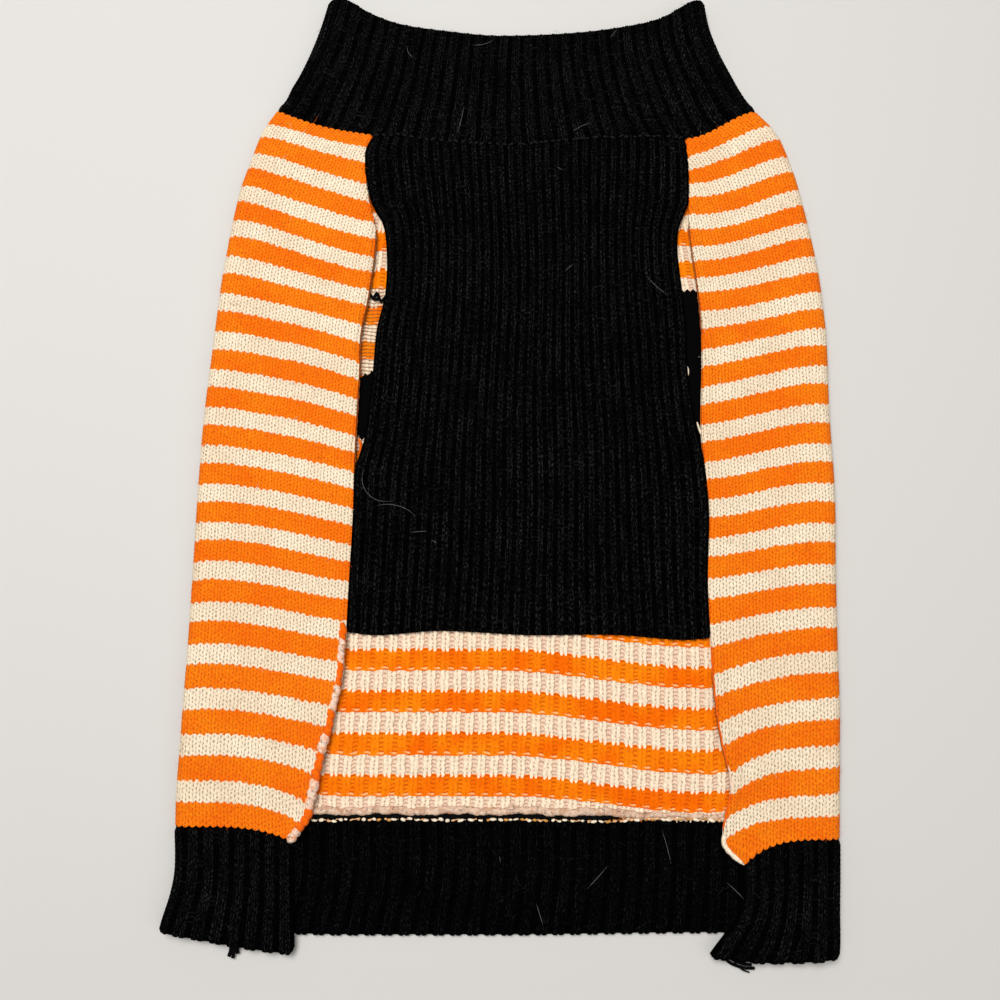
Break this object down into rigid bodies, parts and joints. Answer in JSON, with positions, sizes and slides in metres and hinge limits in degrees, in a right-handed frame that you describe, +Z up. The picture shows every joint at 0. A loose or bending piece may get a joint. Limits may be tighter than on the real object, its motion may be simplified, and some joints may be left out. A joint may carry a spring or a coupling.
{
  "type": "dog sweater",
  "caption": "Knitted dog sweater laid flat, belly side up: striped back folded round the sides, ribbed belly panel, collar tube and waistband.",
  "frame": {"origin": "on the surface the sweater lies on, under the middle of its bounding box", "axes": "+Z up off the surface, +Y from the waistband to the collar, +X to the right as seen from above with the collar at the top"},
  "size_m": [0.2612, 0.394, 0.0083],
  "materials": {
    "striped_knit": "soft matt acrylic yarn in stocking stitch, orange and cream bands of five rows each",
    "black_rib": "soft matt black acrylic yarn in knitted rib, slightly fuzzy",
    "cream_yarn": "soft matt cream yarn along the finished edges"
  },
  "bodies": {
    "root": {"back_panel": "striped_knit", "belly_panel": "black_rib", "collar": "black_rib", "waistband": "black_rib"}
  },
  "joints": []
}
